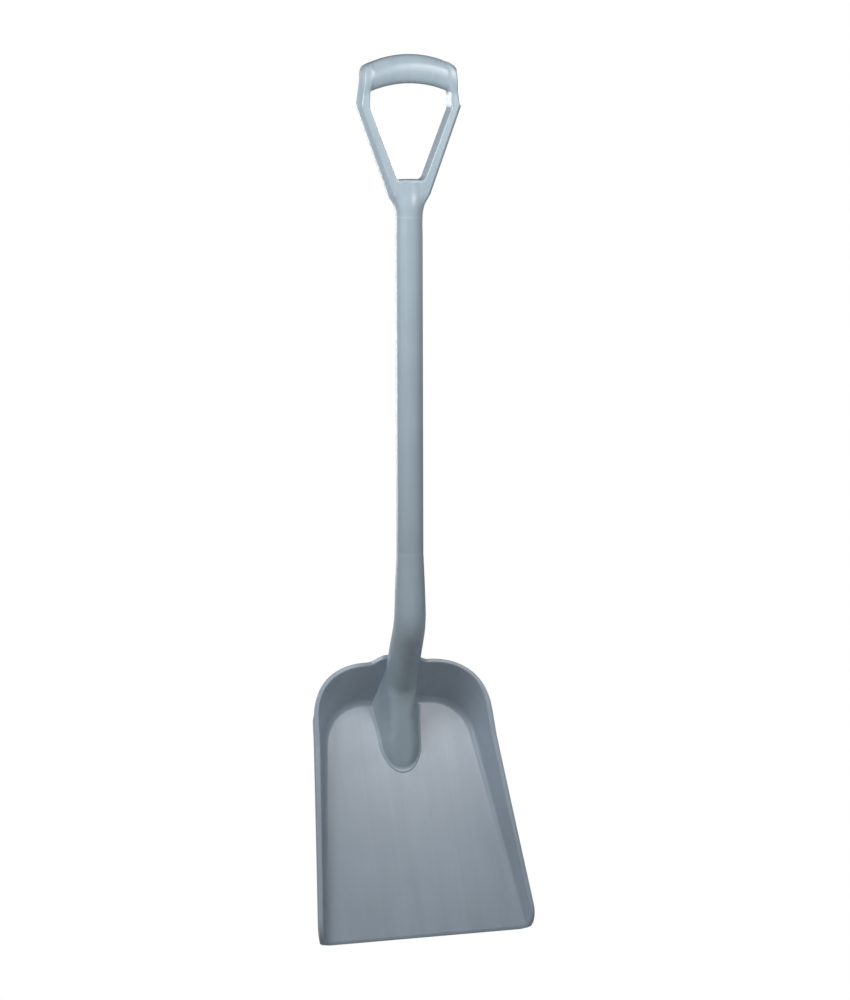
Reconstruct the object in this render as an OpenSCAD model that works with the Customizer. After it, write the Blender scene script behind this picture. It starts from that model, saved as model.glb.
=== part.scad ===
// Long-handled grain scoop shovel in moulded polypropylene: a flared pan, a socket tongue on
// its floor, a cranked shank, a hollow shaft and a D-grip with an arched bar.
//
// Frame: the origin is where a hook bears, under the middle of the grip bar. +Z runs up the
// shaft, the open side of the pan faces -Y, and X runs across the pan. Millimetres.
// Inside the modules, heights are counted up from the pan's front edge, and the pan and its
// tongue are drawn in the pan's own frame: X across, +Y back towards the shank, +Z off the floor.

/* [Overall] */
// Height from the pan's front edge to the crown of the grip
overall_length = 1035; // [1000:5:1080]

/* [Pan] */
// Length of the flat floor, from the rear crease to the front edge
pan_length = 286; // [270:2:300]
// Width of the floor at the rear crease
floor_rear_w = 168; // [150:2:180]
// Width of the floor at the front edge
floor_front_w = 237; // [220:1:250]
// Angle between the floor and the shaft
pan_tilt = 30; // [27:1:33]
// Thickness of the floor and walls
pan_wall = 4; // [3:0.5:5]
// Height of the rear wall
rear_wall_h = 42; // [38:1:46]
// Height of the side walls near the rear corners
side_wall_h = 36.5; // [33:0.5:40]
// Height of the side walls near the front edge
front_wall_h = 19; // [15:0.5:24]
// Extra height of the rear wall where it meets the shank
rear_rise = 7.5; // [5:0.5:10]
// Outward lean of the side walls near the rear corners
side_flare = 19; // [16:1:24]
// Outward lean of the side walls near the front edge
front_flare = 15; // [13:1:20]
// Outward lean of the rear wall
rear_flare = 38; // [36:1:41]
// Width of the rim along the top of the walls at the rear
rim_w = 6.5; // [5:0.5:8]
// Width of the rim near the front edge
front_rim_w = 5; // [4:0.5:6]
// Depth of the turned-down edge under the side rims
skirt_h = 9; // [6:1:11]

/* [Tongue] */
// Length of the tongue on the floor, from the rear crease
tongue_length = 82; // [74:1:90]
// Width of the tongue at the rear crease
tongue_w = 60; // [54:1:66]

/* [Shank] */
// Diameter of the shank through its bend
shank_d = 39; // [37:0.5:40]
// Backward lean of the shank below its bend
bend_angle = 30; // [27:1:33]
// Radius of the bend, at the middle of the shank
bend_radius = 60; // [50:1:70]
// Height at which the bend starts
bend_start = 383; // [376:1:388]
// Height at which the shank meets the shaft
shank_top = 450; // [445:1:460]

/* [Shaft] */
// Outer diameter of the shaft
shaft_d = 32; // [30:0.5:34]
// Wall thickness of the shaft
shaft_wall = 4; // [3:0.5:5]
// Length of the plug that joins the shank to the shaft
plug_length = 116; // [90:2:120]

/* [Grip] */
// Width of the grip over its knees
grip_w = 127; // [122:1:130]
// Depth of the grip's arms, front to back
arm_depth = 25; // [22:1:27]
// Height of the grip bar
bar_h = 34; // [30:1:36]
// Depth of the grip bar, front to back
bar_depth = 28; // [26:1:30]
// Radius of the grip bar's arch, at the middle of the bar
arch_radius = 118; // [105:1:140]
// Height of the hand opening, from its foot to the underside of the bar
opening_h = 111; // [105:1:115]

/* [Hidden] */

$fn = 64;
eps = 0.01;
pan_colour = "#8d99a3";
handle_colour = "#9aa8b3";

// Heights above the pan's front edge
hang_height = overall_length - bar_h;
neck_height = hang_height - opening_h - 42;

// Pan
side_taper = atan((floor_front_w - floor_rear_w) / 2 / pan_length);
corner_r = 50;                  // radius of the floor's outline at the rear corners
side_heel = 5.2;                // the side walls, drawn straight, would meet the floor this far out
rear_heel = 6.4;                // and so would the rear wall
side_fillet = 20;               // inside fillet between floor and side walls, at the rear corners
front_fillet = 9.5;             // and near the front edge
rear_fillet = 25;               // inside fillet between the floor and the rear wall
front_round = 22;               // length over which the side walls curve down to the front edge
least_wall_h = 1;               // wall height that is left at the very front
least_step = 0.3;               // least width of a step in the rim's section
rim_plate = 3;                  // thickness of the rim
skirt_wall = 2.4;               // thickness of the turned-down edge
rise_outer_x = 38;              // the rear wall starts to rise here, either side of the shank
rise_inner_x = 15;              // and reaches its full height here
corner_x = floor_rear_w / 2 - corner_r * (1 - sin(side_taper)) / cos(side_taper);
pan_origin_h = pan_length * cos(pan_tilt) + pan_wall * sin(pan_tilt);

// Shank: where its axis leaves the bend, and where it lands on the floor of the pan
landing = 5;                    // in front of the rear crease
bend_end_y = bend_radius * (1 - cos(bend_angle));
bend_end_h = bend_start - bend_radius * sin(bend_angle);
landing_h = pan_origin_h - landing * cos(pan_tilt);
lower_length = (bend_end_h - landing_h) / cos(bend_angle);
pan_origin_y = bend_end_y + lower_length * sin(bend_angle) + landing * sin(pan_tilt);
lean = 90 - pan_tilt - bend_angle;  // lean of the shank's axis from square to the floor
collar_up = 35;                 // the shank's shoulder on the tongue, up its axis from the floor
stub_d = 18;                    // locating stub below the shoulder
stub_foot_up = 20;
heel_w = 26;                    // flat heel that bears on the rear wall
heel_top_up = 60;
heel_gap = 0.5;
shank_hollow_d = 20;

shaft_bore_d = shaft_d - 2 * shaft_wall;
plug_in_shank = plug_length / 2;
plug_chamfer = 1.5;
grip_spigot_length = 60;

// Grip, in heights above the hook point
knee_z = -26;
corner_z = 15;
corner_x_out = 57;
arm_w = 14.8;
arm_foot_w = 15;
bar_half = grip_w / 2 - arm_w - 1;
foot_half_out = 31.5;
peg_d = 12;
peg_length = 14;
peg_z = bar_h / 2 - arch_radius + sqrt(pow(arch_radius, 2) - pow(bar_half - peg_length / 2, 2));

function clamp01(t) = min(1, max(0, t));
function smooth(t) = let (c = clamp01(t)) c * c * (3 - 2 * c);
function mix(a, b, t) = a + (b - a) * t;

// ---- Frames ----

module in_row_frame() translate([0, 0, -hang_height]) children();

module in_pan_frame()
    translate([0, pan_origin_y, pan_origin_h]) rotate([90 - pan_tilt, 0, 0]) children();

// Along the shank's axis, in the pan's frame: Z runs up the shank from where it lands
module on_shank_axis() translate([0, -landing, 0]) rotate([-lean, 0, 0]) children();

// ---- Pan ----

// Outward offset of the inner wall surface at height h: a fillet, then a straight lean
function fillet_top(r, flare) = r * (1 - sin(flare));
function inner_at(h, r, flare) =
    h < fillet_top(r, flare)
        ? sqrt(max(0, r * r - pow(r - h, 2)))
        : r * cos(flare) + (h - fillet_top(r, flare)) * tan(flare);

// The same surface offset outward by the wall thickness
function outer_at(h, r, flare) =
    let (ro = r + pan_wall, straight_from = r - ro * sin(flare))
    h < straight_from
        ? sqrt(max(0, ro * ro - pow(r - h, 2)))
        : ro * cos(flare) + (h - straight_from) * tan(flare);

// Where the fillet starts, so that the straight wall above it aims at the heel
function fillet_start(r, flare, heel) = heel - r * tan((90 - flare) / 2);

// A station on the floor's outline: [x, y, direction of the outward normal, wall height, skirt]
function wall_height(y) = mix(side_wall_h, front_wall_h, clamp01(-y / pan_length))
    + (rear_wall_h - side_wall_h) * smooth(1 + y / (1.2 * corner_r));
function side_station(t) =
    let (y = -t * pan_length,
         past = (t * pan_length - (pan_length - front_round)) / front_round,
         curve = past <= 0 ? 1 : sqrt(max(0, 1 - past * past)))
    [floor_rear_w / 2 - y * tan(side_taper), y, side_taper,
     max(least_wall_h, wall_height(y) * curve), skirt_h * curve];
function corner_station(a) =
    let (x = corner_x + corner_r * cos(a), y = -corner_r + corner_r * sin(a))
    [x, y, a, wall_height(y), 0];
function rear_station(x) =
    [x, 0, 90, rear_wall_h + rear_rise * smooth((rise_outer_x - x) / (rise_outer_x - rise_inner_x)), 0];

// Stations from the front edge back along the side, round the corner and along the rear wall.
// Places along the side are shares of the pan's length. The skirt stops just before the corner.
round_steps = 12;
corner_steps = 12;
rise_steps = 8;
side_start = (corner_r - corner_r * sin(side_taper)) / pan_length;
skirt_end = side_start + 0.02;
half_stations = concat(
    [for (k = [round_steps:-1:1])
        side_station(1 - front_round / pan_length * (1 - sin(90 * k / round_steps)))],
    [for (t = [0.92, 0.6, 0.3, skirt_end]) side_station(t)],
    [let (s = side_station(skirt_end - 0.002)) [s[0], s[1], s[2], s[3], 0]],
    [for (k = [0:corner_steps]) corner_station(mix(side_taper, 90, k / corner_steps))],
    [for (k = [0:rise_steps]) rear_station(mix(rise_outer_x, rise_inner_x, k / rise_steps))]);
stations = concat(half_stations, [for (i = [len(half_stations) - 1:-1:0])
    let (s = half_stations[i]) [-s[0], s[1], 180 - s[2], s[3], s[4]]]);

// Wall section at a station, as [outward offset, height], from the crease up the inside,
// over the rim and down the outside to the underside
inner_steps = 9;
outer_steps = 9;
function wall_section(s) =
    let (blend = smooth((sin(s[2]) - sin(side_taper)) / (1 - sin(side_taper))),
         along = clamp01(-s[1] / pan_length),
         r = mix(mix(side_fillet, front_fillet, along), rear_fillet, blend),
         flare = mix(mix(side_flare, front_flare, along), rear_flare, blend),
         rim = mix(mix(rim_w, front_rim_w, along), front_rim_w, blend),
         start = fillet_start(r, flare, mix(side_heel, rear_heel, blend)),
         top = s[3],
         share = min(1, top / front_wall_h),
         wall_top = top - max(0.4, rim_plate * share),
         skirt_foot = max(-pan_wall / 2, min(wall_top, top - s[4])),
         skin = outer_at(wall_top, r, flare),
         lip = max(inner_at(top, r, flare) + rim * mix(0.5, 1, share), skin + 2 * least_step),
         skirt_in = max(lip - skirt_wall, outer_at(skirt_foot, r, flare) + least_step))
    [for (p = concat(
        [for (k = [0:inner_steps]) let (h = top * pow(k / inner_steps, 1.6))
            [inner_at(h, r, flare), h]],
        [[lip, top], [lip, skirt_foot], [skirt_in, skirt_foot], [skin, wall_top]],
        [for (k = [1:outer_steps])
            let (h = mix(wall_top, -pan_wall, 1 - pow(1 - k / outer_steps, 1.6)))
            [outer_at(h, r, flare), h]])) [start + p[0], p[1]]];

module scoop_pan() {
    n = len(stations);
    sections = [for (s = stations) wall_section(s)];
    m = len(sections[0]);
    half = floor(m / 2);
    wall_points = [for (i = [0:n - 1]) for (p = sections[i])
        [stations[i][0] + p[0] * cos(stations[i][2]),
         stations[i][1] + p[0] * sin(stations[i][2]), p[1]]];
    top_centre = n * m;
    under_centre = n * m + 1;
    last = (n - 1) * m;
    points = concat(wall_points, [[0, -pan_length / 2, 0], [0, -pan_length / 2, -pan_wall]]);
    walls = [for (i = [0:n - 2]) for (k = [0:m - 2])
        [i * m + k, i * m + k + 1, (i + 1) * m + k + 1, (i + 1) * m + k]];
    right_end = concat([for (k = [0:half - 2]) [k + 1, k, m - 1 - k, m - 2 - k]],
                       [[half, half - 1, half + 1]]);
    left_end = concat([for (k = [0:half - 2])
                           [last + k, last + k + 1, last + m - 2 - k, last + m - 1 - k]],
                      [[last + half - 1, last + half, last + half + 1]]);
    floor_top = [for (i = [0:n - 2]) [i * m, (i + 1) * m, top_centre]];
    floor_under = [for (i = [0:n - 2]) [(i + 2) * m - 1, (i + 1) * m - 1, under_centre]];
    front = [[last, 0, top_centre], [m - 1, n * m - 1, under_centre], [0, last, n * m - 1, m - 1]];
    color(pan_colour) in_row_frame() in_pan_frame()
        polyhedron(points, concat(walls, right_end, left_end, floor_top, floor_under, front),
                   convexity = 6);
}

// Everything from the inner face of the rear wall backwards, up to the wall's top
module behind_rear_wall() {
    reach = 80;
    clearance = 0.2;
    top = rear_wall_h + rear_rise;
    start = fillet_start(rear_fillet, rear_flare, rear_heel);
    fillet_end = [rear_fillet * cos(rear_flare), fillet_top(rear_fillet, rear_flare)];
    lean_end = [fillet_end[0] + (top - fillet_end[1]) * tan(rear_flare), top];
    rotate([90, 0, 90]) linear_extrude(reach, center = true) translate([start, 0]) difference() {
        translate([0, -reach / 2]) square([reach, reach / 2 + top]);
        translate([0, rear_fillet]) circle(r = rear_fillet - clearance);
        translate([-clearance, 0])
            polygon([[-eps, rear_fillet], fillet_end, lean_end, [-eps, top + 1]]);
    }
}

// ---- Tongue ----

// Outline of the tongue on the floor, tapering to a rounded tip
function tongue_half(s) =
    (tongue_w / 2 - 0.157 * s) * sqrt(max(0, 1 - pow(s / tongue_length, 6)));
tongue_steps = 18;
tongue_side = [for (k = [0:tongue_steps])
    let (s = tongue_length * sin(90 * k / tongue_steps)) [tongue_half(s), -s]];
tongue_outline = concat(tongue_side,
    [for (k = [tongue_steps - 1:-1:0]) [-tongue_side[k][0], tongue_side[k][1]]]);

module socket_tongue() {
    heel = [tongue_w - 4, 9, 3];
    color(pan_colour) in_row_frame() in_pan_frame() difference() {
        hull() {
            linear_extrude(0.6) polygon(tongue_outline);
            translate([-heel[0] / 2, 2, 0.2]) cube(heel);
            on_shank_axis() translate([0, 0, collar_up - 2]) cylinder(d = shank_d, h = 2);
        }
        on_shank_axis() translate([0, 0, stub_foot_up]) cylinder(d = stub_d, h = collar_up);
        behind_rear_wall();
    }
}

// ---- Shank ----

// Rings down the shank: [y, height, lean, diameter]. It is straight and tapers down to the
// bend, then turns backwards and runs straight to the height to_up above the floor of the pan.
bend_steps = 10;
function shank_rings(d_top, d, from_h, to_up) = concat(
    [[0, from_h, 0, d_top]],
    [for (k = [0:bend_steps]) let (a = bend_angle * k / bend_steps)
        [bend_radius * (1 - cos(a)), bend_start - bend_radius * sin(a), a, d]],
    [let (run = lower_length - to_up)
        [bend_end_y + run * sin(bend_angle), bend_end_h - run * cos(bend_angle), bend_angle, d]]);

module tube_along(rings, sides = 64) {
    n = len(rings);
    points = [for (r = rings) for (k = [0:sides - 1])
        let (a = 360 * k / sides, c = r[3] / 2 * cos(a), s = r[3] / 2 * sin(a))
        [c, r[0] + s * cos(r[2]), r[1] + s * sin(r[2])]];
    sides_of_tube = [for (i = [0:n - 2]) for (k = [0:sides - 1]) let (next = (k + 1) % sides)
        [i * sides + k, i * sides + next, (i + 1) * sides + next, (i + 1) * sides + k]];
    polyhedron(points, concat(sides_of_tube, [[for (k = [sides - 1:-1:0]) k]],
                              [[for (k = [0:sides - 1]) (n - 1) * sides + k]]), convexity = 3);
}

module cranked_shank() {
    color(handle_colour) in_row_frame() difference() {
        union() {
            tube_along(shank_rings(shaft_d, shank_d, shank_top, collar_up));
            in_pan_frame() on_shank_axis() {
                translate([0, 0, stub_foot_up]) cylinder(d = stub_d, h = collar_up - stub_foot_up + 1);
                translate([-heel_w / 2, 0, collar_up + heel_gap])
                    cube([heel_w, shank_d, heel_top_up - collar_up]);
            }
        }
        tube_along(shank_rings(shank_hollow_d, shank_hollow_d, shank_top - plug_in_shank + 1,
                               collar_up + 8), 32);
        translate([0, 0, shank_top - plug_in_shank])
            cylinder(d = shaft_bore_d, h = plug_in_shank + 1);
        in_pan_frame() behind_rear_wall();
    }
}

// ---- Shaft ----

module shaft_tube() {
    color(handle_colour) in_row_frame() difference() {
        translate([0, 0, shank_top]) cylinder(d = shaft_d, h = neck_height - shank_top);
        translate([0, 0, shank_top - 1]) cylinder(d = shaft_bore_d, h = neck_height - shank_top + 2);
    }
}

module chamfered_rod(d, length, chamfer) {
    translate([0, 0, chamfer]) cylinder(d = d, h = length - 2 * chamfer);
    cylinder(d1 = d - 2 * chamfer, d2 = d, h = chamfer);
    translate([0, 0, length - chamfer]) cylinder(d1 = d, d2 = d - 2 * chamfer, h = chamfer);
}

module shaft_joint_plug() {
    color(handle_colour) in_row_frame() translate([0, 0, shank_top - plug_in_shank])
        chamfered_rod(shaft_bore_d, plug_length, plug_chamfer);
}

// ---- Grip ----

// Arm section: X towards the outside of the grip, Y from front to back. The front is bevelled,
// steeply on the outer side, and the back is flat.
module arm_section(w, depth = arm_depth) {
    bevel = 5;
    soft = 1.5;
    polygon([[w / 2, depth / 2 - soft], [w / 2 - soft, depth / 2], [-w / 2 + soft, depth / 2],
             [-w / 2, depth / 2 - soft], [-w / 2, -depth / 2 + 3], [-w / 2 + soft, -depth / 2],
             [w / 2 - bevel, -depth / 2], [w / 2, -1]]);
}

module arm_slice(x, z, w, tilt, depth = arm_depth)
    translate([x, 0, z]) rotate([0, tilt, 0]) linear_extrude(0.5) arm_section(w, depth);

module grip_arm() {
    knee_x = grip_w / 2 - arm_w / 2;
    foot_x = foot_half_out - arm_foot_w / 2;
    slope = atan((knee_x - foot_x) / (opening_h + knee_z));
    hull() {
        arm_slice(foot_x, -opening_h - 3, arm_foot_w * cos(slope), 0);
        arm_slice(knee_x, knee_z - 2, arm_w, slope / 2);
    }
    hull() {
        arm_slice(knee_x, knee_z - 2, arm_w, slope / 2);
        arm_slice((bar_half + corner_x_out) / 2, corner_z, corner_x_out - bar_half, 0);
        translate([bar_half, -arm_depth / 2 + 3, corner_z]) cube([3, arm_depth - 6, 10]);
    }
    translate([bar_half - peg_length, 0, peg_z]) rotate([0, 90, 0])
        cylinder(d = peg_d, h = peg_length + 3);
}

module grip_yoke() {
    neck_z = neck_height - hang_height;
    color(handle_colour) {
        grip_arm();
        mirror([1, 0, 0]) grip_arm();
        hull() {
            translate([-foot_half_out, -arm_depth / 2 + 1.5, -opening_h - 5])
                cube([2 * foot_half_out, arm_depth - 1.5, 5]);
            translate([0, 0, neck_z]) cylinder(d = shaft_d, h = 2);
        }
        translate([0, 0, neck_z - grip_spigot_length])
            chamfered_rod(shaft_bore_d, grip_spigot_length + 5, plug_chamfer);
    }
}

module grip_bar() {
    end_r = bar_depth / 2;
    color(handle_colour) difference() {
        intersection() {
            translate([0, 0, bar_h / 2 - arch_radius]) rotate([90, 0, 0]) rotate([0, 0, 60])
                rotate_extrude(angle = 60) translate([arch_radius, 0]) {
                    for (side = [-1, 1]) translate([side * (bar_h / 2 - end_r), 0]) circle(r = end_r);
                    square([bar_h - bar_depth, bar_depth], center = true);
                }
            translate([-bar_half, -bar_depth, -bar_h]) cube([2 * bar_half, 2 * bar_depth, 3 * bar_h]);
        }
        for (side = [-1, 1]) translate([side * bar_half, 0, peg_z]) rotate([0, -90 * side, 0])
            translate([0, 0, -1]) cylinder(d = peg_d, h = peg_length + 2);
    }
}

scoop_pan();
socket_tongue();
cranked_shank();
shaft_joint_plug();
shaft_tube();
grip_yoke();
grip_bar();
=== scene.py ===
"""Looks of a moulded polypropylene grain scoop shovel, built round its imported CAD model.

Everything is in metres in the model's own frame: the origin is under the middle of the grip bar,
+Z runs up the shaft, the open side of the pan faces -Y and X runs across the pan. Shapes that
follow a formula are worked out in millimetres and scaled once, when their mesh is made.
"""

import math

import bmesh
import bpy
import numpy as np
from mathutils import Matrix, Vector


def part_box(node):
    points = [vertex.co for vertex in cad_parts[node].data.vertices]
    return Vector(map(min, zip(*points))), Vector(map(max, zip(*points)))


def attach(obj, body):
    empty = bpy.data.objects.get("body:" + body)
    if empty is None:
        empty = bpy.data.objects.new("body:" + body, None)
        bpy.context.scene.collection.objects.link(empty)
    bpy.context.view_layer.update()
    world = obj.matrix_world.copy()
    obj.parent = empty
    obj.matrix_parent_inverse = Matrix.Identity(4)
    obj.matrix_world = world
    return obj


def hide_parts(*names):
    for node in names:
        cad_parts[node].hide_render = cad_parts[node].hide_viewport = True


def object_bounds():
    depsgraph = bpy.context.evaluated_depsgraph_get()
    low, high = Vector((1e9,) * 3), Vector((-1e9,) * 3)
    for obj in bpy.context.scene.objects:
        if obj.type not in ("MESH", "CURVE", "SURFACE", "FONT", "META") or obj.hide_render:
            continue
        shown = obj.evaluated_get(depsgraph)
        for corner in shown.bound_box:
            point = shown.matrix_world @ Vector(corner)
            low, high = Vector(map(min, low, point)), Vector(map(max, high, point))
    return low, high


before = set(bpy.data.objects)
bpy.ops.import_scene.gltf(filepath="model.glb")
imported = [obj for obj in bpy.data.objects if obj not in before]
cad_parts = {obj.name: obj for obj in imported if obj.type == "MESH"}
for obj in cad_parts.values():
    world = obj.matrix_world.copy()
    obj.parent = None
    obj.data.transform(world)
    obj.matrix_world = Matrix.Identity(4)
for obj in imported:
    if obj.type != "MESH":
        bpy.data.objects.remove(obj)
cad_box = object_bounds()

MM = 0.001

# ---------------------------------------------------------------- places taken from the frame
shaft_low, shaft_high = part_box("shaft_tube")
pan_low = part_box("scoop_pan")[0]
SHAFT_R = (shaft_high.x - shaft_low.x) / 2 / MM
SHANK_TOP = shaft_low.z / MM
NECK_Z = shaft_high.z / MM
PAN_FOOT = pan_low.z / MM
BAR_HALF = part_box("grip_bar")[1].x / MM

# ---------------------------------------------------------------- sizes, in millimetres
PAN_LENGTH = 286
FLOOR_REAR = 84          # half-width of the floor at the rear crease
FLOOR_FRONT = 118.5      # half-width of the floor at the front edge
PAN_TILT = math.radians(30)
PAN_WALL = 4             # thickness of the floor and walls
REAR_WALL = 42           # heights of the walls, square to the floor
SIDE_WALL = 36.5
FRONT_WALL = 19
REAR_RISE = 7.5          # extra height of the rear wall at the shank
SIDE_FLARE = math.radians(18.8)
FRONT_FLARE = math.radians(15.3)
REAR_FLARE = math.radians(38)
SIDE_HEEL = 5.2          # from the edge of the flat floor out to where a sharp wall would start
REAR_HEEL = 6.4
SIDE_FILLET = 20.5       # radius between floor and side wall, at the rear
FRONT_FILLET = 9.5
REAR_FILLET = 25
CORNER_R = 50            # radius of the floor's outline at the rear corners
SIDE_RIM = 6.7           # widths of the rim
FRONT_RIM = 5
REAR_RIM = 5
RIM_PLATE = 3            # thickness of the rim
SKIRT = 9                # depth of the turned-down edge under the side rims
SKIRT_WALL = 2.4
FRONT_ROUND = 22         # length over which the side walls curve down to the front edge
LIP_LENGTH = 3.2         # bevelled front edge of the floor
LIP_DROP = 1.3
EDGE_ROUND = 0.5         # rounding of the blunt front edges
RISE_OUTER = 38          # the rear wall rises towards the shank from here
RISE_WIDTH = 23
PAN_BACK = 72.69         # the rear crease, behind the shaft's axis

TONGUE_LENGTH = 82
TONGUE_HALF = 30
TONGUE_TAPER = 0.13      # how much its half-width narrows per millimetre, towards the tip
TONGUE_SPREAD = 0.2      # and behind the rear crease
NOSE_START = 40          # the rounded tip starts this far along the tongue
RIDGE_H = 44.5           # height of its ridge at the rear crease
RIDGE_LEAN = 0.45        # how far its sides lean in, as a share of the ridge's height
RIDGE_LEAN_MOST = 14
TONGUE_TOP = 46
BEAD_W = 2.8             # low bead round the foot of the tongue
BEAD_H = 1.0
FOOT_DEPTH = 1.1         # the tongue goes this far into the pan's floor

BEND_ANGLE = math.radians(30)
BEND_R = 60
BEND_DROP = 67           # the bend starts this far below the top of the shank
SHANK_GAIN = 3.5         # how much the shank's radius grows on the way down
SHANK_GROWTH = 140       # over this length
LANDING = 5              # the shank's axis lands this far in front of the rear crease
COLLAR_UP = 41           # the joint between shank and tongue, up the shank's axis

GRIP_HALF = 63.4         # half-width of the grip at its knees
KNEE_Z = -26
CROWN_CORNER = (57.2, 15)
ARM_FOOT = (30.6, -115.5)
OPENING_KNEE = (48.5, -28)
OPENING_TOP = (47.5, 20)
OPENING_CORNER = (15, -114)
OPENING_FOOT = -111
ARM_DEPTH = 25
BEVEL_SLOPE = 2.2        # the arms are bevelled alike on the front and the back
BEVEL_DEPTH = 11         # from either face to where its bevel meets the outline
BAR_H = 34
BAR_DEPTH = 28
BAR_POWER = 2.3          # the bar's section is a superellipse of this power
BAR_REACH = 55           # half-length of the bar, whose ends lie inside the arms
BAR_FOOT = -18           # the bar and the arms are parted above this level
CROWN_R = 116
NECK_H = 46              # height over which the round core of the neck gets slimmer
NECK_TAPER = 3.4         # and by how much, on the radius

SIDE_TAPER = math.atan((FLOOR_FRONT - FLOOR_REAR) / PAN_LENGTH)
PAN_ORIGIN = Vector((0, PAN_BACK, PAN_FOOT + PAN_LENGTH * math.cos(PAN_TILT)
                     + PAN_WALL * math.sin(PAN_TILT)))
PAN_FRAME = Matrix.Translation(PAN_ORIGIN) @ Matrix.Rotation(math.pi / 2 - PAN_TILT, 4, "X")


# ---------------------------------------------------------------- camera
def aim_camera():
    """Left of the front and a little above the grip, as a long lens sees it from 3.4 m."""
    side_angle = math.radians(15)
    distance = 3.4305
    height = 0.0769
    turn = math.radians(15.30)
    tip = math.radians(9.328)
    roll = math.radians(-0.13)
    data = bpy.data.cameras.new("camera")
    data.sensor_width = 36
    data.lens = 106.16
    camera = bpy.data.objects.new("camera", data)
    camera.location = (-distance * math.sin(side_angle), -distance * math.cos(side_angle), height)
    camera.rotation_euler = (math.pi / 2 - tip, 0, -turn)
    camera.rotation_euler.rotate_axis("Z", roll)
    bpy.context.scene.collection.objects.link(camera)
    bpy.context.scene.camera = camera


# ---------------------------------------------------------------- small helpers
def smooth(t):
    """0 below 0, 1 above 1 and an S-curve between."""
    t = np.clip(t, 0.0, 1.0)
    return t * t * (3 - 2 * t)


def mix(a, b, t):
    return a + (b - a) * t


def smooth_max(a, b, k):
    """The larger of two fields, with the edge where they meet rounded over a width of k."""
    h = np.maximum(k - np.abs(a - b), 0) / k
    return np.maximum(a, b) + h * h * k / 4


def smooth_min(a, b, k):
    return -smooth_max(-a, -b, k)


def mesh_object(name, points, faces, place=None, sharp=35):
    """A piece from points in millimetres, smooth shaded up to the sharp angle."""
    mesh = bpy.data.meshes.new(name)
    mesh.from_pydata([tuple(p) for p in points], [], [tuple(int(i) for i in f) for f in faces])
    mesh.validate()
    if place is not None:
        mesh.transform(place)
    mesh.transform(Matrix.Scale(MM, 4))
    piece = bpy.data.objects.new(name, mesh)
    bpy.context.scene.collection.objects.link(piece)
    mesh.shade_smooth()
    mesh.set_sharp_from_angle(angle=math.radians(sharp))
    return piece


def finish_piece(piece, node, material):
    piece.data.materials.clear()
    piece.data.materials.append(material)
    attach(piece, "root")
    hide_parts(node)
    return piece


def surface_net(field, low, high, step):
    """Points and quads of the surface where field is 0, on a grid of cubes.

    Each cube that the surface crosses gets one point, which is then drawn onto the surface.
    """
    axes = [np.arange(a, b + step, step) for a, b in zip(low, high)]
    value = field(*np.meshgrid(*axes, indexing="ij"))
    total = np.zeros(value.shape + (3,))
    count = np.zeros(value.shape, int)
    quads = []
    for axis in range(3):
        size = value.shape[axis]
        first = np.take(value, range(size - 1), axis)
        second = np.take(value, range(1, size), axis)
        crossed = np.argwhere((first < 0) != (second < 0))
        b, c = (axis + 1) % 3, (axis + 2) % 3
        crossed = crossed[(crossed[:, b] > 0) & (crossed[:, c] > 0)]
        at_first = first[tuple(crossed.T)]
        at_second = second[tuple(crossed.T)]
        point = np.array(low) + step * crossed
        point[:, axis] += step * at_first / (at_first - at_second)
        corners = []
        for db, dc in ((0, 0), (-1, 0), (-1, -1), (0, -1)):
            cell = crossed.copy()
            cell[:, b] += db
            cell[:, c] += dc
            np.add.at(total, tuple(cell.T), point)
            np.add.at(count, tuple(cell.T), 1)
            corners.append(np.ravel_multi_index(tuple(cell.T), value.shape))
        quad = np.stack(corners, 1)
        quads.append(np.where((at_first < 0)[:, None], quad, quad[:, ::-1]))
    used = np.flatnonzero(count.ravel())
    index = np.full(count.size, -1)
    index[used] = np.arange(len(used))
    points = total.reshape(-1, 3)[used] / count.ravel()[used][:, None]
    for _ in range(4):
        points = points - pull(field, points)
    return points, index[np.concatenate(quads)]


def pull(field, points, h=0.05, most=0.6):
    """The step that takes points to the surface where field is 0."""
    here = field(*points.T)
    slope = np.stack([(field(*(points + d).T) - field(*(points - d).T)) / (2 * h)
                      for d in np.eye(3) * h], 1)
    length = np.maximum((slope * slope).sum(1), 1e-3)
    move = slope * (here / length)[:, None]
    size = np.maximum(np.linalg.norm(move, axis=1), 1e-9)
    return move * np.minimum(1, most / size)[:, None]


def cut(piece, point, normal):
    """Cuts away what lies on the normal's side of a plane, and closes the cut."""
    bm = bmesh.new()
    bm.from_mesh(piece.data)
    geometry = bm.verts[:] + bm.edges[:] + bm.faces[:]
    found = bmesh.ops.bisect_plane(bm, geom=geometry, plane_co=Vector(point) * MM,
                                   plane_no=normal, clear_outer=True, dist=1e-7)
    rim = [e for e in found["geom_cut"] if isinstance(e, bmesh.types.BMEdge)]
    bmesh.ops.edgeloop_fill(bm, edges=rim)
    bmesh.ops.recalc_face_normals(bm, faces=bm.faces)
    bm.to_mesh(piece.data)
    bm.free()
    piece.data.shade_smooth()
    piece.data.set_sharp_from_angle(angle=math.radians(35))


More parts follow.
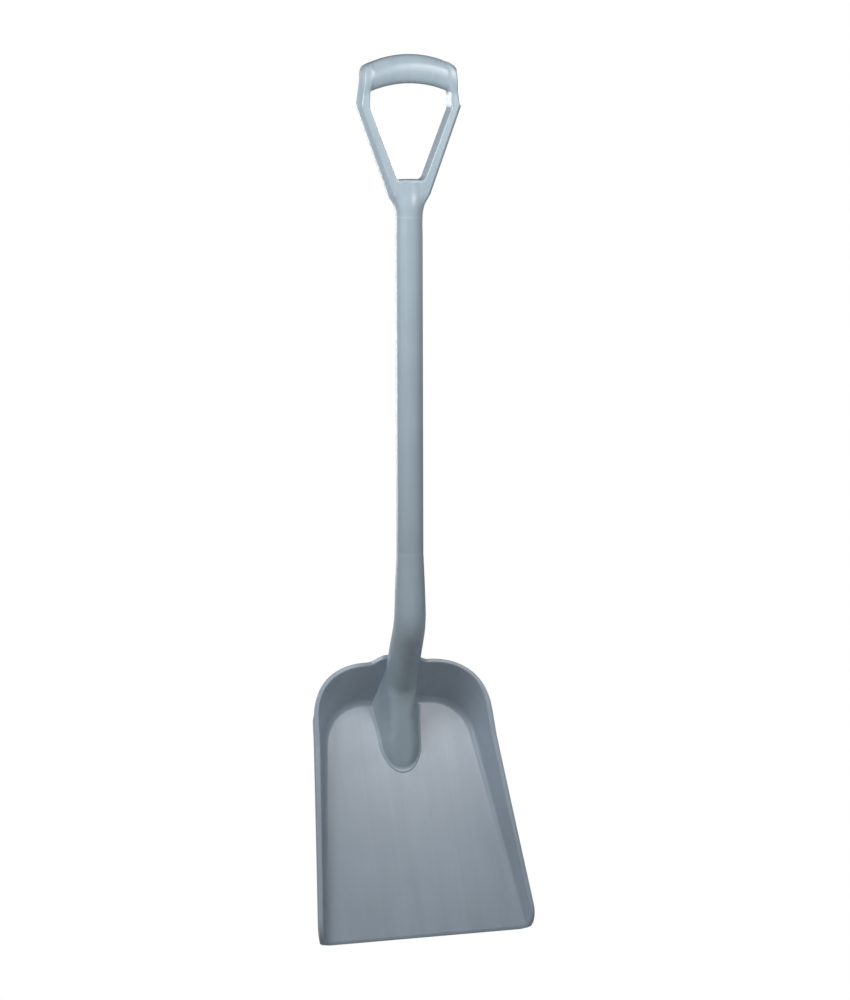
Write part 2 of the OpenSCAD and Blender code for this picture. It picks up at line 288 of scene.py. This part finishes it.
# ---------------------------------------------------------------- pan
def rounded(corners, steps):
    """A polyline through (x, y, radius) corners, with each corner turned into a curve.

    Corners that are nearly straight still get a short curve, so that no points coincide.
    """
    out = [corners[0][:2]]
    for i in range(1, len(corners) - 1):
        here = Vector(corners[i][:2])
        back = Vector(corners[i - 1][:2]) - here
        ahead = Vector(corners[i + 1][:2]) - here
        room = 0.48 * min(back.length, ahead.length)
        turn = math.pi - back.angle(ahead, 0)
        reach = max(0.2 * room, min(corners[i][2] * math.tan(turn / 2), room))
        start = here + back.normalized() * reach
        end = here + ahead.normalized() * reach
        for k in range(steps + 1):
            t = k / steps
            share = 0.5 * (1 - math.cos(math.pi * t)) if turn < 0.02 else t
            first = start.lerp(here, share)
            second = here.lerp(end, share)
            out.append(tuple(first.lerp(second, share)))
    out.append(corners[-1][:2])
    return out


def wall_height(y):
    """Height of the side wall, which grows a little more where it turns into the rear wall."""
    back = min(1, max(0, -y / PAN_LENGTH))
    return mix(SIDE_WALL, FRONT_WALL, back) + (REAR_WALL - SIDE_WALL) * float(
        smooth(1 + y / (1.2 * CORNER_R)))


def pan_stations(columns):
    """Right-hand stations from the front to the rear corner, then all of the rear wall.

    A station is (x, y, direction of the outward normal, wall height, skirt depth).
    """
    corner_x = FLOOR_REAR - CORNER_R * (1 - math.sin(SIDE_TAPER)) / math.cos(SIDE_TAPER)
    side_end = CORNER_R - CORNER_R * math.sin(SIDE_TAPER)

    def side(back):
        past = max(0, (back - (PAN_LENGTH - FRONT_ROUND)) / FRONT_ROUND)
        curve = math.sqrt(1 - min(0.975, past) ** 2)
        return (FLOOR_REAR + back * math.tan(SIDE_TAPER), -back, SIDE_TAPER,
                wall_height(-back) * curve, SKIRT * curve)

    stations = [side(PAN_LENGTH - FRONT_ROUND * (1 - math.sin(a)))
                for a in np.linspace(math.radians(83), 0, 22)]
    stations = [side(PAN_LENGTH)] + stations
    stations += [side(b) for b in np.linspace(PAN_LENGTH - FRONT_ROUND, side_end, 52)[1:-1]]
    for a in np.linspace(SIDE_TAPER, math.pi / 2, 49)[:-1]:
        x = corner_x + CORNER_R * math.cos(a)
        y = -CORNER_R + CORNER_R * math.sin(a)
        fade = 1 - float(smooth((a - math.radians(22)) / math.radians(6)))
        stations.append((x, y, a, wall_height(y), SKIRT * fade))
    rear = []
    for t in np.linspace(1, -1, columns):
        x = corner_x * t
        rise = REAR_RISE * float(smooth((RISE_OUTER - abs(x)) / RISE_WIDTH))
        rear.append((x, 0, math.pi / 2, REAR_WALL + rise, 0))
    return stations, rear


def wall_section(station):
    """The wall's section as (outward offset, height), up the inside and down the outside."""
    _, y, angle, top, skirt = station
    rearness = float(smooth((math.sin(angle) - math.sin(SIDE_TAPER)) / (1 - math.sin(SIDE_TAPER))))
    along = min(1, max(0, -y / PAN_LENGTH))
    r = mix(mix(SIDE_FILLET, FRONT_FILLET, along), REAR_FILLET, rearness)
    flare = mix(mix(SIDE_FLARE, FRONT_FLARE, along), REAR_FLARE, rearness)
    heel = mix(SIDE_HEEL, REAR_HEEL, rearness)
    rim = mix(mix(SIDE_RIM, FRONT_RIM, along), REAR_RIM, rearness)
    share = min(1, top / FRONT_WALL)
    plate = RIM_PLATE * share
    lean = math.tan(flare)
    outer_heel = heel + PAN_WALL * math.tan((math.pi / 2 - flare) / 2)
    inner_top = heel + top * lean
    skin = outer_heel + (top - plate + PAN_WALL) * lean
    foot = top - plate - max(0, skirt - plate)
    lip = max(inner_top + rim, skin + 0.8)
    skirt_in = max(lip - SKIRT_WALL, outer_heel + (foot + PAN_WALL) * lean + 0.3)
    floor_end = heel - min(r, 1.5 * top + 2) * math.tan((math.pi / 2 - flare) / 2)
    return rounded([
        (min(0, floor_end) - 0.5, 0, 0),
        (heel, 0, r),
        (inner_top, top, 2.4),
        (lip, top, 2.2),
        (lip, foot, 1.0),
        (skirt_in, foot, 0.6),
        (skin, top - plate, 0.8),
        (outer_heel, -PAN_WALL, r + PAN_WALL),
        (min(0, floor_end) - 0.5, -PAN_WALL, 0)], 9)


def lip_drop(y):
    """How far the floor's top falls away over its bevelled front edge."""
    return LIP_DROP * max(0, (-y - (PAN_LENGTH - LIP_LENGTH)) / LIP_LENGTH) ** 1.4


def build_pan():
    columns = 57
    right, rear = pan_stations(columns)
    left = [(-x, y, math.pi - a, top, skirt) for x, y, a, top, skirt in reversed(right)]
    stations = right + rear + left
    points = []
    loops = []
    for station in stations:
        x, y, angle, _, _ = station
        loop = []
        for offset, height in wall_section(station):
            px = x + offset * math.cos(angle)
            py = y + offset * math.sin(angle)
            upper = height > -PAN_WALL * 0.6
            loop.append(len(points))
            points.append((px, py, height - (lip_drop(y) if upper else 0)))
        loops.append(loop)
    count = len(loops[0])
    faces = []
    for a, b in zip(loops, loops[1:]):
        faces += [(a[k], a[k + 1], b[k + 1], b[k]) for k in range(count - 1)]

    def floor_rows(end, flip):
        """Rows across the floor between the right and left stations, then the rear row."""
        rows = []
        for i in range(len(right)):
            first = loops[i][end]
            last = loops[len(stations) - 1 - i][end]
            x, y, z = points[first]
            row = [first]
            for t in np.linspace(1, -1, columns)[1:-1]:
                row.append(len(points))
                points.append((x * t, y, z))
            row.append(last)
            rows.append(row)
        rows.append([loops[len(right) + j][end] for j in range(columns)])
        for a, b in zip(rows, rows[1:]):
            for k in range(columns - 1):
                quad = (a[k], b[k], b[k + 1], a[k + 1])
                faces.append(quad[::-1] if flip else quad)
        return rows[0]

    top_row = floor_rows(0, False)
    under_row = floor_rows(count - 1, True)
    faces += [(top_row[k], top_row[k + 1], under_row[k + 1], under_row[k])
              for k in range(columns - 1)]
    faces.append(tuple(reversed(loops[0])))
    faces.append(tuple(loops[-1]))
    piece = mesh_object("scoop_pan_shell", points, faces, PAN_FRAME, sharp=50)
    round_front(piece)
    return piece


def round_front(piece):
    """Rounds the blunt front edges of the pan."""
    forward = PAN_FRAME.to_3x3() @ Vector((0, -1, 0))
    bm = bmesh.new()
    bm.from_mesh(piece.data)
    bmesh.ops.recalc_face_normals(bm, faces=bm.faces)
    edges = [e for e in bm.edges if len(e.link_faces) == 2 and
             (e.link_faces[0].normal.dot(forward) > 0.97)
             != (e.link_faces[1].normal.dot(forward) > 0.97)
             and e.calc_face_angle(0) > math.radians(30)]
    bmesh.ops.bevel(bm, geom=edges, offset=EDGE_ROUND * MM, segments=3, profile=0.5,
                    affect="EDGES", clamp_overlap=True)
    bm.to_mesh(piece.data)
    bm.free()
    piece.data.shade_smooth()
    piece.data.set_sharp_from_angle(angle=math.radians(50))


# ---------------------------------------------------------------- shank and tongue
TO_PAN = PAN_FRAME.inverted()


def to_pan(x, y, z):
    m = TO_PAN
    return (x, m[1][1] * y + m[1][2] * z + m[1][3], m[2][1] * y + m[2][2] * z + m[2][3])


def shank_field(x, y, z):
    """Distance outside the shank: straight down, round the bend, then back to the pan."""
    start = SHANK_TOP - BEND_DROP
    ry, rz = y - BEND_R, z - start
    turned = np.arctan2(-rz, -ry)
    in_bend = BEND_R - np.hypot(ry, rz)
    s, c = math.sin(BEND_ANGLE), math.cos(BEND_ANGLE)
    end_y, end_z = BEND_R * (1 - c), start - BEND_R * s
    below = (y - end_y) * c + (z - end_z) * s
    across = np.where(turned < 0, y, np.where(turned < BEND_ANGLE, in_bend, below))
    run = np.where(turned < 0, SHANK_TOP - z,
                   np.where(turned < BEND_ANGLE, BEND_DROP + BEND_R * turned,
                            BEND_DROP + BEND_R * BEND_ANGLE
                            + (y - end_y) * s - (z - end_z) * c))
    t = np.clip(run / SHANK_GROWTH, 0, 1)
    radius = SHAFT_R + SHANK_GAIN * (1 - (1 - t) ** 2)
    return np.hypot(x, across) - radius


def tongue_footprint(px, s):
    """Distance outside the tongue's outline on the floor: tapered sides and an elliptic tip."""
    half = TONGUE_HALF - 0.8 - np.where(s > 0, TONGUE_TAPER, -TONGUE_SPREAD) * s
    sides = np.abs(px) - half
    nose_length = TONGUE_LENGTH - NOSE_START
    nose_half = TONGUE_HALF - 6.0
    along = np.maximum(s - NOSE_START, 0) / nose_length
    across = px / nose_half
    size = np.maximum(np.hypot(along, across), 1e-3)
    slope = np.hypot(along / nose_length, across / nose_half) / size
    nose = (size - 1) / np.maximum(slope, 1e-3)
    return np.where(s > NOSE_START, nose, sides)


def tongue_field(x, y, z):
    """A ridge with a narrow flat top that runs down to the floor of the pan."""
    px, py, pz = to_pan(x, y, z)
    s = -py
    ridge = RIDGE_H * (1 - s / (TONGUE_LENGTH + 1))
    foot = tongue_footprint(px, s)
    share = np.clip(pz / np.maximum(ridge, 0.5), -0.2, 1.2)
    lean_in = np.clip(ridge * RIDGE_LEAN, 0, RIDGE_LEAN_MOST)
    side = (foot + lean_in * share) * 0.9
    above = (pz - ridge) * 0.87
    wedge = smooth_max(side, above, 7.0)
    body = smooth_max(wedge, pz - TONGUE_TOP, 5.0)
    return smooth_max(body, rear_plane(py, pz), 2.0)


def rear_plane(py, pz):
    """Distance behind the middle of the rear wall's thickness."""
    return ((py - REAR_HEEL) * math.cos(REAR_FLARE) - pz * math.sin(REAR_FLARE)
            - PAN_WALL / 2)


def handle_foot_field(x, y, z):
    """Shank and tongue in one surface, with the fillet between them and round the tongue."""
    px, py, pz = to_pan(x, y, z)
    solid = smooth_min(shank_field(x, y, z), tongue_field(x, y, z), 8.0)
    bead = smooth_max(tongue_footprint(px, -py) - BEAD_W, pz - BEAD_H, 1.2)
    bead = np.maximum(bead, py)
    footed = smooth_min(solid, bead, 1.6)
    footed = np.maximum(footed, -(pz + FOOT_DEPTH))
    limit = REAR_WALL + REAR_RISE - 2
    return np.maximum(footed, np.where(pz < limit, rear_plane(py, pz), -10))


def build_handle_foot():
    """One surface, cut at the collar into the tongue and the shank."""
    low = (-38.4, -24, -832.3)
    high = (38, 92, SHANK_TOP + 6)
    points, quads = surface_net(handle_foot_field, low, high, 1.0)
    place = PAN_FRAME @ Matrix.Translation((0, -LANDING, 0))
    lean = math.pi / 2 - PAN_TILT - BEND_ANGLE
    axis = PAN_FRAME.to_3x3() @ Vector((0, math.sin(lean), math.cos(lean)))
    collar = place.translation + axis * COLLAR_UP
    tongue = mesh_object("socket_tongue_body", points, quads)
    shank = mesh_object("cranked_shank_body", points, quads)
    cut(tongue, collar, axis)
    cut(shank, collar, -axis)
    cut(shank, (0, 0, SHANK_TOP), (0, 0, 1))
    return tongue, shank


# ---------------------------------------------------------------- shaft
def build_shaft():
    """The straight tube, a little slimmer where it meets the neck of the grip."""
    sides = 96
    heights = np.concatenate([[SHANK_TOP], np.linspace(SHANK_TOP + 4, NECK_Z - 30, 90),
                              np.linspace(NECK_Z - 26, NECK_Z, 12)])
    points = []
    for z in heights:
        r = SHAFT_R - 0.25 * float(smooth((z - NECK_Z + 24) / 14) * smooth((NECK_Z - z) / 6))
        for k in range(sides):
            a = 2 * math.pi * k / sides
            points.append((r * math.cos(a), r * math.sin(a), z))
    faces = [tuple(reversed(range(sides)))]
    for i in range(len(heights) - 1):
        for k in range(sides):
            n = (k + 1) % sides
            faces.append((i * sides + k, i * sides + n, (i + 1) * sides + n, (i + 1) * sides + k))
    last = (len(heights) - 1) * sides
    faces.append(tuple(range(last, last + sides)))
    return mesh_object("shaft_tube_body", points, faces)


# ---------------------------------------------------------------- grip
def below_line(x, z, a, b):
    """Signed distance from the line a-b in the XZ plane, positive on its right-hand side."""
    dx, dz = b[0] - a[0], b[1] - a[1]
    length = math.hypot(dx, dz)
    return ((x - a[0]) * dz - (z - a[1]) * dx) / length


def grip_outline(x, z):
    """The outside of the grip seen from the front: arched crown, knees and sloping arms."""
    ax = np.abs(x)
    crown = np.hypot(x, z - (BAR_H - CROWN_R)) - CROWN_R
    knee = (GRIP_HALF, KNEE_Z)
    upper = below_line(ax, z, knee, CROWN_CORNER)
    lower = below_line(ax, z, ARM_FOOT, knee)
    return smooth_max(smooth_max(upper, lower, 1.5), crown, 4.0)


def opening_outline(x, z):
    """The hand opening and the space of the bar above it."""
    ax = np.abs(x)
    upper = below_line(ax, z, OPENING_KNEE, OPENING_TOP)
    lower = below_line(ax, z, OPENING_CORNER, OPENING_KNEE)
    foot = OPENING_FOOT - z
    return smooth_max(smooth_max(upper, lower, 1.5), foot, 5.0)


def bar_field(x, y, z):
    """The arched hand bar: the same rounded section all along, lower towards its ends."""
    middle = BAR_H / 2 - x * x / (2 * (CROWN_R + 2))
    across = np.abs(y / (BAR_DEPTH / 2)) ** BAR_POWER
    upright = np.abs((z - middle) / (BAR_H / 2)) ** BAR_POWER
    return ((across + upright) ** (1 / BAR_POWER) - 1) * BAR_DEPTH / 2


def grip_field(x, y, z):
    """The whole D-shaped ring, its bar and the neck that runs down into the shaft."""
    outside = grip_outline(x, z)
    half = ARM_DEPTH / 2
    bevel = (np.abs(y) + outside * BEVEL_SLOPE + BEVEL_DEPTH - half) / math.hypot(BEVEL_SLOPE, 1)
    plate = smooth_max(outside, bevel, 1.6)
    plate = smooth_max(plate, np.abs(y) - half, 1.6)
    arms = smooth_max(plate, -opening_outline(x, z), 2.6)
    bar = smooth_max(bar_field(x, y, z), np.abs(x) - BAR_REACH, 3.0)
    ring = smooth_max(smooth_min(arms, bar, 5.0), outside, 2.0)
    rise = (z - NECK_Z) / NECK_H
    radius = SHAFT_R - NECK_TAPER * smooth(rise)
    core = smooth_max(np.hypot(x, y) - radius, z - (OPENING_FOOT - 1.0), 3.0)
    whole = smooth_min(ring, core, 5.0 + 7.0 * smooth(1 - rise * 1.6))
    return mix(np.hypot(x, y) - SHAFT_R, whole, smooth(rise * 1.7))


def build_grip():
    """One surface, cut into the yoke with its arms and the bar between them."""
    points, quads = surface_net(grip_field, (-66, -18, NECK_Z - 6), (66, 18, 37), 0.8)
    bar = mesh_object("grip_bar_body", points, quads, sharp=60)
    cut(bar, (0, 0, BAR_FOOT), (0, 0, -1))
    cut(bar, (BAR_HALF, 0, 0), (1, 0, 0))
    cut(bar, (-BAR_HALF, 0, 0), (-1, 0, 0))
    yoke = mesh_object("grip_yoke_body", points, quads, sharp=60)
    cut(yoke, (0, 0, NECK_Z), (0, 0, -1))
    part_out(yoke, BAR_HALF, BAR_FOOT)
    return yoke, bar


def part_out(piece, half, low):
    """Takes out the stretch between two upright planes above a level, and closes the ends."""
    bm = bmesh.new()
    bm.from_mesh(piece.data)
    for side in (-1, 1):
        above = [f for f in bm.faces if f.calc_center_median().z > low * MM]
        geometry = list({v for f in above for v in f.verts} | {e for f in above for e in f.edges})
        bmesh.ops.bisect_plane(bm, geom=geometry + above, plane_co=(side * half * MM, 0, 0),
                               plane_no=(1, 0, 0), dist=1e-7)
    gone = [f for f in bm.faces if abs(f.calc_center_median().x) < half * MM
            and f.calc_center_median().z > low * MM]
    bmesh.ops.delete(bm, geom=gone, context="FACES")
    open_edges = [e for e in bm.edges if e.is_boundary]
    bmesh.ops.edgeloop_fill(bm, edges=open_edges)
    bmesh.ops.recalc_face_normals(bm, faces=bm.faces)
    bm.to_mesh(piece.data)
    bm.free()
    piece.data.shade_smooth()
    piece.data.set_sharp_from_angle(angle=math.radians(60))


# ---------------------------------------------------------------- materials
def node_at(tree, kind, **values):
    node = tree.nodes.new(kind)
    for key, value in values.items():
        if hasattr(node, key):
            setattr(node, key, value)
        else:
            node.inputs[key.replace("_", " ")].default_value = value
    return node


def polypropylene(name, base, streak_turn=0.0):
    """Satin moulded plastic, with the detail of a shovel that has seen a little use.

    The colour carries wide and fine flow streaks that run down the length, and soft clouds. Convex
    edges are painted paler, in patches: partly wear, partly a painted highlight along the rims. The
    gloss varies, and a fine moulded grain roughens it.
    """
    material = bpy.data.materials.new(name)
    material.use_nodes = True
    tree = material.node_tree
    tree.nodes.clear()
    out = tree.nodes.new("ShaderNodeOutputMaterial")
    shader = tree.nodes.new("ShaderNodeBsdfPrincipled")
    tree.links.new(shader.outputs["BSDF"], out.inputs["Surface"])
    shader.inputs["IOR"].default_value = 1.49
    shader.inputs["Specular IOR Level"].default_value = 0.5
    coords = tree.nodes.new("ShaderNodeTexCoord")
    turn = node_at(tree, "ShaderNodeMapping")
    turn.inputs["Rotation"].default_value = (streak_turn, 0, 0)
    tree.links.new(coords.outputs["Object"], turn.inputs["Vector"])

    def streaks(across, along, detail):
        stretch = node_at(tree, "ShaderNodeMapping")
        stretch.inputs["Scale"].default_value = (across, across, along)
        tree.links.new(turn.outputs["Vector"], stretch.inputs["Vector"])
        noise = node_at(tree, "ShaderNodeTexNoise", Scale=1.0, Detail=detail, Roughness=0.55)
        tree.links.new(stretch.outputs["Vector"], noise.inputs["Vector"])
        return noise.outputs["Fac"]

    def blended(share, first, second):
        blend = node_at(tree, "ShaderNodeMix", data_type="FLOAT")
        blend.inputs[0].default_value = share
        tree.links.new(first, blend.inputs[2])
        tree.links.new(second, blend.inputs[3])
        return blend.outputs[0]

    cloud = node_at(tree, "ShaderNodeTexNoise", Scale=14.0, Detail=4.0, Roughness=0.5)
    tree.links.new(coords.outputs["Object"], cloud.inputs["Vector"])
    flow = blended(0.3, streaks(34, 3.6, 2.0), streaks(210, 2.4, 3.0))
    shade = tree.nodes.new("ShaderNodeValToRGB")
    shade.color_ramp.elements[0].position = 0.40
    shade.color_ramp.elements[0].color = tuple(0.94 * c for c in base) + (1,)
    shade.color_ramp.elements[1].position = 0.60
    shade.color_ramp.elements[1].color = tuple(1.06 * c for c in base) + (1,)
    tree.links.new(blended(0.35, flow, cloud.outputs["Fac"]), shade.inputs["Fac"])

    patch = node_at(tree, "ShaderNodeTexNoise", Scale=55.0, Detail=5.0, Roughness=0.6)
    tree.links.new(coords.outputs["Object"], patch.inputs["Vector"])
    # Pointiness paints convex edges paler in noise patches: partly wear, partly a painted highlight
    # along the rims.
    edge = node_at(tree, "ShaderNodeMapRange")
    edge.inputs["From Min"].default_value = 0.515
    edge.inputs["From Max"].default_value = 0.60
    geometry = tree.nodes.new("ShaderNodeNewGeometry")
    tree.links.new(geometry.outputs["Pointiness"], edge.inputs["Value"])
    wear_and_highlight = node_at(tree, "ShaderNodeMath", operation="MULTIPLY")
    tree.links.new(edge.outputs["Result"], wear_and_highlight.inputs[0])
    tree.links.new(patch.outputs["Fac"], wear_and_highlight.inputs[1])
    colour = node_at(tree, "ShaderNodeMix", data_type="RGBA")
    tree.links.new(wear_and_highlight.outputs["Value"], colour.inputs["Factor"])
    tree.links.new(shade.outputs["Color"], colour.inputs[6])
    colour.inputs[7].default_value = tuple(min(1, 1.3 * c) for c in base) + (1,)
    tree.links.new(colour.outputs[2], shader.inputs["Base Color"])

    gloss = node_at(tree, "ShaderNodeMapRange")
    gloss.inputs["To Min"].default_value = 0.25
    gloss.inputs["To Max"].default_value = 0.37
    tree.links.new(patch.outputs["Fac"], gloss.inputs["Value"])
    tree.links.new(gloss.outputs["Result"], shader.inputs["Roughness"])

    grain = node_at(tree, "ShaderNodeTexNoise", Scale=900.0, Detail=2.0, Roughness=0.6)
    tree.links.new(coords.outputs["Object"], grain.inputs["Vector"])
    bump = node_at(tree, "ShaderNodeBump", Strength=0.12, Distance=0.0003)
    tree.links.new(grain.outputs["Fac"], bump.inputs["Height"])
    tree.links.new(bump.outputs["Normal"], shader.inputs["Normal"])
    return material


# ---------------------------------------------------------------- stage and light
def plain_white(name, shade):
    """White for the floor: it shows as plain white and lights the object only softly."""
    material = bpy.data.materials.new(name)
    material.use_nodes = True
    tree = material.node_tree
    tree.nodes.clear()
    out = tree.nodes.new("ShaderNodeOutputMaterial")
    path = tree.nodes.new("ShaderNodeLightPath")
    glow = node_at(tree, "ShaderNodeEmission", Strength=1.0)
    glow.inputs["Color"].default_value = (1, 1, 1, 1)
    matt = node_at(tree, "ShaderNodeBsdfDiffuse")
    matt.inputs["Color"].default_value = (shade, shade, shade, 1)
    choose = tree.nodes.new("ShaderNodeMixShader")
    tree.links.new(path.outputs["Is Camera Ray"], choose.inputs["Fac"])
    tree.links.new(matt.outputs["BSDF"], choose.inputs[1])
    tree.links.new(glow.outputs["Emission"], choose.inputs[2])
    tree.links.new(choose.outputs["Shader"], out.inputs["Surface"])
    return material


def build_stage():
    size = 6.0
    gap = 0.02
    z = cad_box[0][2] - gap
    mesh = bpy.data.meshes.new("floor")
    mesh.from_pydata([(-size, -size, z), (size, -size, z), (size, size, z), (-size, size, z)],
                     [], [(0, 1, 2, 3)])
    mesh.materials.append(plain_white("floor_white", 0.4))
    floor = bpy.data.objects.new("floor", mesh)
    bpy.context.scene.collection.objects.link(floor)
    world = bpy.data.worlds.new("studio")
    bpy.context.scene.world = world
    world.use_nodes = True
    tree = world.node_tree
    tree.nodes.clear()
    out = tree.nodes.new("ShaderNodeOutputWorld")
    seen = node_at(tree, "ShaderNodeBackground", Strength=1.0)
    seen.inputs["Color"].default_value = (1, 1, 1, 1)
    light = node_at(tree, "ShaderNodeBackground", Strength=0.07)
    light.inputs["Color"].default_value = (0.95, 0.98, 1, 1)
    path = tree.nodes.new("ShaderNodeLightPath")
    choose = tree.nodes.new("ShaderNodeMixShader")
    tree.links.new(path.outputs["Is Camera Ray"], choose.inputs["Fac"])
    tree.links.new(light.outputs["Background"], choose.inputs[1])
    tree.links.new(seen.outputs["Background"], choose.inputs[2])
    tree.links.new(choose.outputs["Shader"], out.inputs["Surface"])


def add_softbox(name, azimuth, distance, height, size, power):
    """A soft box at an angle from the front, aimed at the upper shaft. Positive is to the right."""
    data = bpy.data.lights.new(name, "AREA")
    data.shape = "RECTANGLE"
    data.size, data.size_y = size
    data.energy = power
    turn = math.radians(azimuth)
    place = Vector((distance * math.sin(turn), -distance * math.cos(turn), height))
    light = bpy.data.objects.new(name, data)
    light.location = place
    light.rotation_euler = (Vector((0, 0, -0.4)) - place).to_track_quat("-Z", "Y").to_euler()
    light.visible_camera = False
    bpy.context.scene.collection.objects.link(light)


def add_lights():
    """Two boxes near the grip model the shaft, two wider ones fill, and two light the back."""
    add_softbox("left_box", -52, 0.75, 0.12, (0.35, 0.35), 6.0)
    add_softbox("right_box", 26, 0.75, 0.12, (0.30, 0.35), 4.2)
    add_softbox("left_fill", -64, 1.6, 0.05, (0.9, 0.6), 4.4)
    add_softbox("right_fill", 60, 1.5, 0.05, (0.6, 0.6), 1.2)
    add_softbox("rear_right", 140, 1.7, 0.3, (0.8, 0.8), 18)
    add_softbox("rear_left", -155, 1.9, -0.4, (0.9, 0.9), 14)


# ---------------------------------------------------------------- put together
aim_camera()
build_stage()
add_lights()
bpy.context.scene.view_settings.view_transform = "Standard"

HANDLE_GREY = (0.325, 0.400, 0.455)
PAN_GREY = (0.325, 0.388, 0.455)
handle_plastic = polypropylene("handle_polypropylene", HANDLE_GREY)
pan_plastic = polypropylene("pan_polypropylene", PAN_GREY, PAN_TILT)

finish_piece(build_pan(), "scoop_pan", pan_plastic)
tongue, shank = build_handle_foot()
finish_piece(tongue, "socket_tongue", handle_plastic)
finish_piece(shank, "cranked_shank", handle_plastic)
finish_piece(build_shaft(), "shaft_tube", handle_plastic)
yoke, bar = build_grip()
finish_piece(yoke, "grip_yoke", handle_plastic)
finish_piece(bar, "grip_bar", handle_plastic)
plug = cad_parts["shaft_joint_plug"]
plug.data.materials.clear()
plug.data.materials.append(handle_plastic)
